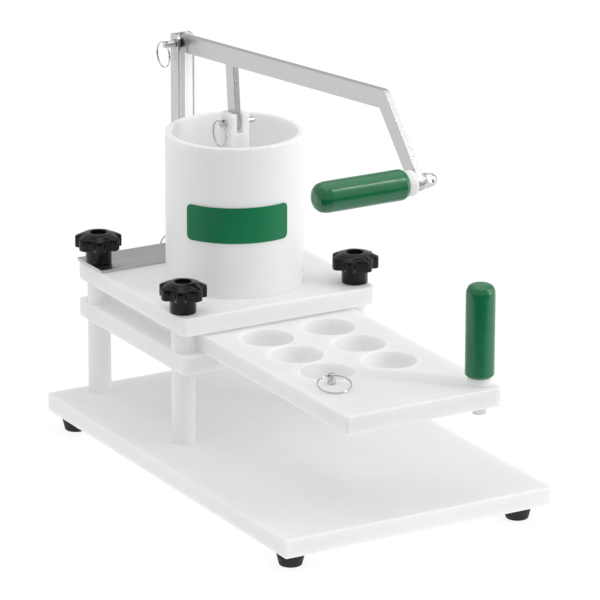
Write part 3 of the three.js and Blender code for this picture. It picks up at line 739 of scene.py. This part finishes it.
# ------------------------------------------------------------------ mould plate, its grip and stop pin
loops = [(rect(-SLIDE_HW, SLIDE_HW, *SLIDE_Y, 3), wall(Z_SLIDE, Z_SLIDE_TOP, 0.9, 0.9))]
for y in POCKET_Y:
    for x in (-POCKET_X, POCKET_X):
        loops.append((circle(POCKET_R, 96, x, y, True), wall(Z_SLIDE, Z_SLIDE_TOP, 0.7, 0.7)))
loops.append((circle(4.4, 32, *SLIDE_GRIP, True), wall(Z_SLIDE, Z_SLIDE_TOP, 0.3, 0.3)))
loops.append((circle(PIN_BORE, 32, *STOP, True), wall(Z_SLIDE, Z_SLIDE_TOP, 0.3, 0.3)))
stand(obj("mould", plate(loops)), "mould_plate", "hdpe")

at = T(SLIDE_GRIP[0], SLIDE_GRIP[1], Z_SLIDE_TOP)
stand(obj("slide_collar", tube(4.5, 12.3, 0.2, 8.2, 0.7, 72, at)), "slide_grip_collar", "turned")
stand(obj("slide_grip", lathe([(0, 98, 0), (4.6, 98, 0.2), (4.6, 8.6, 0.2), (12.6, 8.6, 1.0), (14.6, 10.8, 1.6), (14.6, 91, 20), (14.3, 96.0, 6),
                               (12.7, 100.2, 4), (9.6, 102.3, 4), (5.4, 102.8, 4), (0, 102.8, 0)], 96, at)), "slide_grip", "green")
stand(obj("slide_washer", tube(4.4, 8.5, -PLATE - 2, -PLATE - 0.3, 0.3, 56, at)), "slide_grip_washer", "bright")
head = plate([(hexagon(7.6, 0.4, 0), wall(-PLATE - 11.0, -PLATE - 2.3, 0.7, 0.3))], at)
shank = lathe([(0, -PLATE - 3, 0), (4, -PLATE - 3, 0.1), (4, 95, 0.6), (0, 95, 0)], 40, at)
stand(obj("slide_bolt", head, shank), "slide_grip_bolt", "bright")

pin_at = T(STOP[0], STOP[1], Z_SLIDE_TOP) @ R(90 + STOP_TURN, "Z") @ R(180, "X")
stand(pull_pin(-10.4, -0.3, 17.5, -8.2, pin_at), "stop_pin", "bright")
drop = math.asin((8.2 - 1.0) / (2 * STOP_RING_R))
stand(split_ring(STOP_RING_R, T(STOP[0], STOP[1], Z_SLIDE_TOP + 8.2) @ R(STOP_TURN, "Z") @ Matrix.Rotation(drop, 4, "X") @ T(0, RING_SIT - STOP_RING_R, 0)),
      "stop_pin_ring", "bright")

left = set(frame["nodes"]) - done
for n in left:                                   # any carried-over node gets its slot's material
    o = frame["nodes"][n]
    o.data.materials.clear()
    o.data.materials.append(M[{"steel": "lever"}.get(node_slot[n], node_slot[n])])

# ------------------------------------------------------------------ floor, light, camera
floor = bpy.data.meshes.new("floor")
floor.from_pydata([(-8, -8, 0), (8, -8, 0), (8, 8, 0), (-8, 8, 0)], [], [(0, 1, 2, 3)])
fo = bpy.data.objects.new("floor", floor)
bpy.context.scene.collection.objects.link(fo)
fm = Nodes("floor_paint").set(Specular_IOR_Level=0.05, Emission_Color=(1, 1, 1, 1))
fm.t.links.new(fm.coord.outputs["Object"], fm.t.nodes.new("ShaderNodeVectorMath").inputs[0])
ahead = fm.t.nodes[-1]
ahead.operation = "DOT_PRODUCT"
ahead.inputs[1].default_value = (-0.501, -0.865, 0.0)
lit = fm.remap(ahead.outputs["Value"], 1.0, 0.0, 0.48, 0.75)      # the lit sheet ends in front of the press
fm.link(fm.remap(lit, 0.02, 0.87, 0.0, 1.0), fm.bsdf.inputs["Emission Strength"])
fm.colours(lit, (0.0, (0.03, 0.03, 0.03)), (1.0, (0.16, 0.16, 0.16)))
fm.rough(fm.remap(fm.noise(40, 3), 0.7, 0.8))
floor.materials.append(fm.mat)

world = bpy.data.worlds.new("studio")
bpy.context.scene.world = world
world.use_nodes = True
bg = world.node_tree.nodes["Background"]
bg.inputs["Color"].default_value = (0.60, 0.60, 0.60, 1)
bg.inputs["Strength"].default_value = 1.0


def area(name, loc, at, size, watts):
    li = bpy.data.lights.new(name, "AREA")
    li.shape, li.size, li.size_y, li.energy = "RECTANGLE", size[0], size[1], watts
    o = bpy.data.objects.new(name, li)
    o.location = loc
    o.rotation_euler = (Vector(at) - Vector(loc)).to_track_quat("-Z", "Y").to_euler()
    bpy.context.scene.collection.objects.link(o)


area("key", (1.55, -1.78, 1.30), (0, 0, 0.2), (0.14, 2.5), 21)
area("right", (2.15, -1.0, 1.15), (0, 0, 0.2), (1.2, 2.3), 12)
area("top", (0.0, 0.1, 2.2), (0, 0, 0.15), (2.4, 2.4), 16)
area("left", (-2.2, -0.35, 1.1), (0, 0, 0.2), (1.2, 1.9), 2)

cam = bpy.data.cameras.new("camera")
co = bpy.data.objects.new("camera", cam)
bpy.context.scene.collection.objects.link(co)
right = Vector((0.8656272, -0.50068225, 0.00261373))
down = Vector((-0.15282624, -0.26918451, -0.95088582))
fwd = Vector((0.47679523, 0.82271319, -0.30953082))
m = Matrix((right, -down, -fwd)).transposed().to_4x4()
m.translation = Vector((-2.309197, (-3747.069 + OY) / 1000, (1669.690 + OZ) / 1000))
co.matrix_world = m
cam.sensor_width = 36.0
cam.lens = 4815.483 / 600.0 * 36.0
cam.clip_end = 100.0
bpy.context.scene.camera = co
bpy.context.scene.view_settings.view_transform = "Standard"
